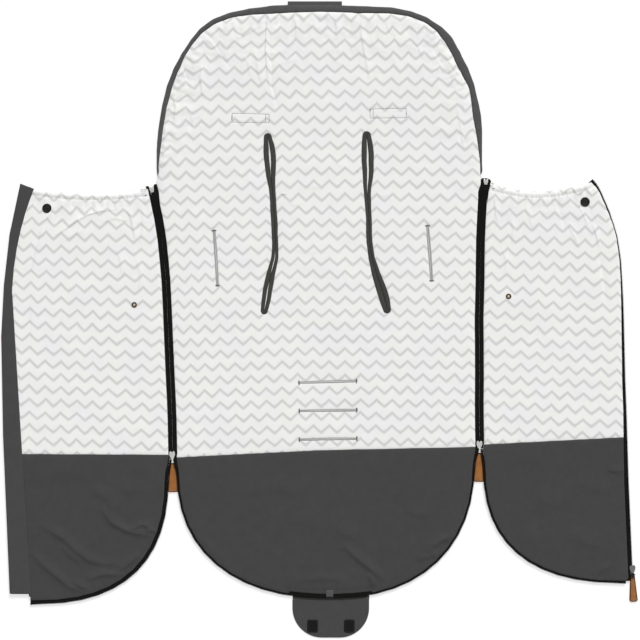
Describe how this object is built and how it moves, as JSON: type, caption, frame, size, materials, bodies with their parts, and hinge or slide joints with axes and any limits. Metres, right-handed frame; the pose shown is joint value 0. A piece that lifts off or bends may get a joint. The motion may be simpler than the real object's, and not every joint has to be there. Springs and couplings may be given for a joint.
{
  "type": "summer footmuff",
  "caption": "Padded summer footmuff for a pushchair, opened flat: back panel with harness slots, side covers that zip shut over the legs, toe flap, press studs and leather zip pullers.",
  "frame": {"origin": "on the underside of the back panel, on its middle line and in line with the lower ends of the shoulder slits", "axes": "+Z out of the lining side, +Y towards the head, +X towards the right cover as seen from above"},
  "size_m": [0.9883, 0.987, 0.0066],
  "materials": {
    "shell": "matt woven",
    "wadding": "soft fleece",
    "lining": "soft jersey with a grey zigzag",
    "foot_lining": "matt woven",
    "binding": "matt ribbed",
    "thread": "dense stitching",
    "elastic": "woven elastic",
    "tape": "matt woven",
    "coil": "satin",
    "hook_loop": "rough",
    "black_stud": "satin black",
    "box": "satin black",
    "brass": "polished",
    "steel": "bright nickel",
    "leather": "smooth tan"
  },
  "bodies": {
    "back": {"back_shell": "shell", "back_wadding": "wadding", "back_lining": "lining", "back_foot_lining": "foot_lining", "top_tab": "shell", "rear_strap": "elastic", "slit_binding_left": "binding", "slit_binding_right": "binding", "lap_slot_stitching_left": "thread", "lap_slot_stitching_right": "thread", "crotch_slot_stitching_upper": "thread", "crotch_slot_stitching_middle": "thread", "crotch_slot_stitching_lower": "thread", "zip_end_cover": "binding", "side_zip_tape_left": "tape", "side_zip_tape_right": "tape", "side_zip_coil_left": "coil", "side_zip_coil_right": "coil", "side_zip_cover_tape_left": "tape", "side_zip_cover_tape_right": "tape", "side_zip_cover_coil_left": "coil", "side_zip_cover_coil_right": "coil", "top_stop_left": "steel", "top_stop_right": "steel"},
    "toe_flap": {"toe_flap": "shell", "hook_pad_left": "hook_loop", "hook_pad_right": "hook_loop"},
    "cover_left": {"cover_left_shell": "shell", "cover_left_lining": "lining", "cover_left_foot_lining": "foot_lining", "cover_left_hem_elastic": "elastic", "cover_left_side_tape": "tape", "cover_left_side_coil": "coil", "cover_left_centre_tape": "tape", "cover_left_centre_coil": "coil", "cover_left_loop_pad": "hook_loop", "black_stud_left": "black_stud", "brass_stud_left": "brass"},
    "zip_guard": {"zip_guard": "binding"},
    "cover_right": {"cover_right_shell": "shell", "cover_right_lining": "lining", "cover_right_foot_lining": "foot_lining", "cover_right_hem_elastic": "elastic", "cover_right_side_tape": "tape", "cover_right_side_coil": "coil", "cover_right_centre_tape": "tape", "cover_right_centre_coil": "coil", "cover_right_loop_pad": "hook_loop", "black_stud_right": "black_stud", "brass_stud_right": "brass", "centre_zip_box": "box"},
    "slider_left": {"slider_left": "steel"},
    "puller_left": {"puller_link_left": "steel", "leather_puller_left": "leather"},
    "slider_right": {"slider_right": "steel"},
    "puller_right": {"puller_link_right": "steel", "leather_puller_right": "leather"},
    "slider_centre": {"slider_centre": "steel"},
    "puller_centre": {"puller_link_centre": "steel", "leather_puller_centre": "leather"}
  },
  "joints": [
    {"name": "cover_left_fold", "type": "hinge", "parent": "back", "child": "cover_left", "pos_m": [-0.23598, -0.20949, 0.007], "axis": [-0.0693, 0.9976, 0], "range_deg": [0, 180]},
    {"name": "cover_right_fold", "type": "hinge", "parent": "back", "child": "cover_right", "pos_m": [0.254, -0.19308, 0.007], "axis": [-0.0114, -0.9999, 0], "range_deg": [0, 180]},
    {"name": "zip_guard_fold", "type": "hinge", "parent": "cover_left", "child": "zip_guard", "pos_m": [-0.4475, -0.43454, 0.00675], "axis": [0.007, 1, 0], "range_deg": [0, 180]},
    {"name": "toe_flap_fold", "type": "hinge", "parent": "back", "child": "toe_flap", "pos_m": [0.017, -0.434, 0.00845], "axis": [-1, 0, 0], "range_deg": [0, 180]},
    {"name": "slider_left_slide", "type": "slide", "parent": "back", "child": "slider_left", "axis": [-0.0693, 0.9976, 0], "range_m": [0, 0.4045]},
    {"name": "puller_left_swing", "type": "hinge", "parent": "slider_left", "child": "puller_left", "pos_m": [-0.229, -0.209, 0.00125], "axis": [-0.9976, -0.0693, 0], "range_deg": [-165, 0]},
    {"name": "slider_right_slide", "type": "slide", "parent": "back", "child": "slider_right", "axis": [0.0114, 0.9999, 0], "range_m": [0, 0.3875]},
    {"name": "puller_right_swing", "type": "hinge", "parent": "slider_right", "child": "puller_right", "pos_m": [0.247, -0.193, 0.00125], "axis": [-0.9999, 0.0114, 0], "range_deg": [-165, 0]},
    {"name": "slider_centre_slide", "type": "slide", "parent": "cover_right", "child": "slider_centre", "axis": [-0.043, 0.9991, 0], "range_m": [0, 0.505]},
    {"name": "puller_centre_swing", "type": "hinge", "parent": "slider_centre", "child": "puller_centre", "pos_m": [0.48421, -0.38592, 0.00125], "axis": [-0.9991, -0.043, 0], "range_deg": [-165, 0]}
  ]
}
